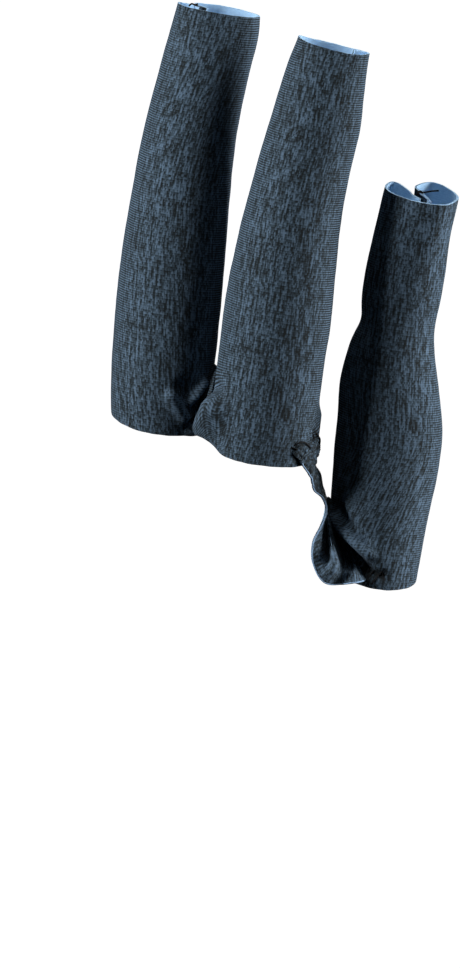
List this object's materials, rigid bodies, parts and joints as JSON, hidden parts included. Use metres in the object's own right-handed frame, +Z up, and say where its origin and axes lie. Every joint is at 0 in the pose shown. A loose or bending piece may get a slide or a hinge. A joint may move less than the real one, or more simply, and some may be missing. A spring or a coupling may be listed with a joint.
{
  "type": "finger compression wrap",
  "caption": "Knit compression wrap for fingers: tapered open-ended sleeves joined at the base by web gussets, with turned-in seams and raw cut edges.",
  "frame": {"origin": "middle of the ring sleeve's lower opening, where the wrap sits on the fingers", "axes": "+Z up along the sleeves towards the fingertips, +X from the middle finger's sleeve to the little finger's, -Y towards the viewer on the back of the hand"},
  "size_m": [0.0727, 0.0305, 0.1152],
  "materials": {
    "heather_knit": "matte heather jersey, charcoal with blue slub streaks, light blue on the inside"
  },
  "bodies": {
    "root": {"middle_sleeve": "heather_knit", "ring_sleeve": "heather_knit", "little_sleeve": "heather_knit", "web_middle_ring": "heather_knit", "web_ring_little": "heather_knit"}
  },
  "joints": []
}
